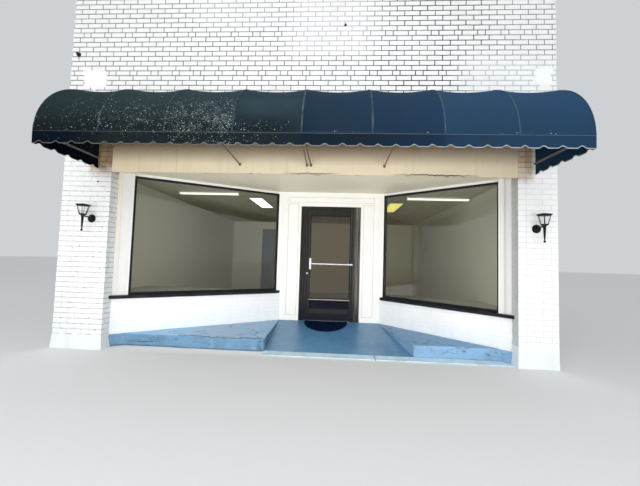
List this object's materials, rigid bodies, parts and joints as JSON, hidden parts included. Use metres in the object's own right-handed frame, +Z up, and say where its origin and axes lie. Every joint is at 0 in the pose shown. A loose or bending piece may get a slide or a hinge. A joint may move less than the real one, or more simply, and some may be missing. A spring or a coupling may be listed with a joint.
{
  "type": "shop building with a recessed entrance",
  "caption": "Painted brick shop of one storey with a recessed glazed entrance, slanted display windows, a curved fabric awning, wall lanterns and a hinged shop door.",
  "frame": {"origin": "middle of the plan of the walls at pavement level, on the underside of the shop floor", "axes": "+X to the right seen from the street, +Y from the street to the back wall, +Z up"},
  "size_m": [6.65, 7.999, 5.325],
  "materials": {
    "painted_brick": "white paint over brick, dark joints",
    "party_masonry": "plain painted masonry",
    "cream_boards": "cream paint, satin",
    "soffit_paint": "beige paint, matte",
    "lintel_steel": "primed",
    "coping_metal": "weathered paint",
    "roof_felt": "rolled felt",
    "floor_finish": "floor tile, satin",
    "ceiling_board": "matte",
    "light_diffuser": "diffuser",
    "dark_metal": "black satin",
    "shop_glass": "clear float glass",
    "white_woodwork": "ivory white gloss paint",
    "deck_board": "varnished board",
    "bronze_metal": "dark bronze, satin",
    "kick_metal": "dark enamel",
    "bright_metal": "satin",
    "ramp_paint": "worn blue-grey floor paint",
    "blue_concrete": "worn blue floor paint",
    "pale_concrete": "broom finish",
    "mat_pile": "dark pile on a rubber back",
    "awning_fabric": "woven canvas, weathered",
    "awning_tube": "mill finish",
    "lantern_metal": "black satin",
    "back_door_paint": "grey enamel"
  },
  "bodies": {
    "building": {"left_pier": "painted_brick", "right_pier": "painted_brick", "fascia": "cream_boards", "lintel_beam": "lintel_steel", "upper_front_wall": "painted_brick", "front_coping": "coping_metal", "left_party_wall": "party_masonry", "right_party_wall": "party_masonry", "back_wall": "party_masonry", "rear_copings": "coping_metal", "roof_deck": "roof_felt", "shop_floor": "floor_finish", "shop_ceiling": "ceiling_board", "entry_soffit": "soffit_paint", "left_bulkhead": "painted_brick", "right_bulkhead": "painted_brick", "left_window_sill": "dark_metal", "right_window_sill": "dark_metal", "left_window_frame": "dark_metal", "right_window_frame": "dark_metal", "left_window_glass": "shop_glass", "right_window_glass": "shop_glass", "window_casings": "white_woodwork", "display_decks": "deck_board", "left_door_surround": "white_woodwork", "right_door_surround": "white_woodwork", "door_head_panel": "white_woodwork", "door_frame": "bronze_metal", "door_hinges": "bronze_metal", "entry_ramp": "ramp_paint", "left_step": "blue_concrete", "right_step": "blue_concrete", "entry_strip": "pale_concrete", "doormat": "mat_pile", "awning_hood": "awning_fabric", "awning_valance": "awning_fabric", "awning_frame": "awning_tube", "left_lantern": "lantern_metal", "right_lantern": "lantern_metal", "back_door": "back_door_paint", "ceiling_lights": "light_diffuser"},
    "door": {"door_leaf": "bronze_metal", "door_glass": "shop_glass", "door_kick_panel": "kick_metal", "door_fittings": "bright_metal"}
  },
  "joints": [
    {"name": "door_swing", "type": "hinge", "parent": "building", "child": "door", "pos_m": [0.8475, -1.818, 0], "axis": [0, 0, 1], "range_deg": [0, 95]}
  ]
}
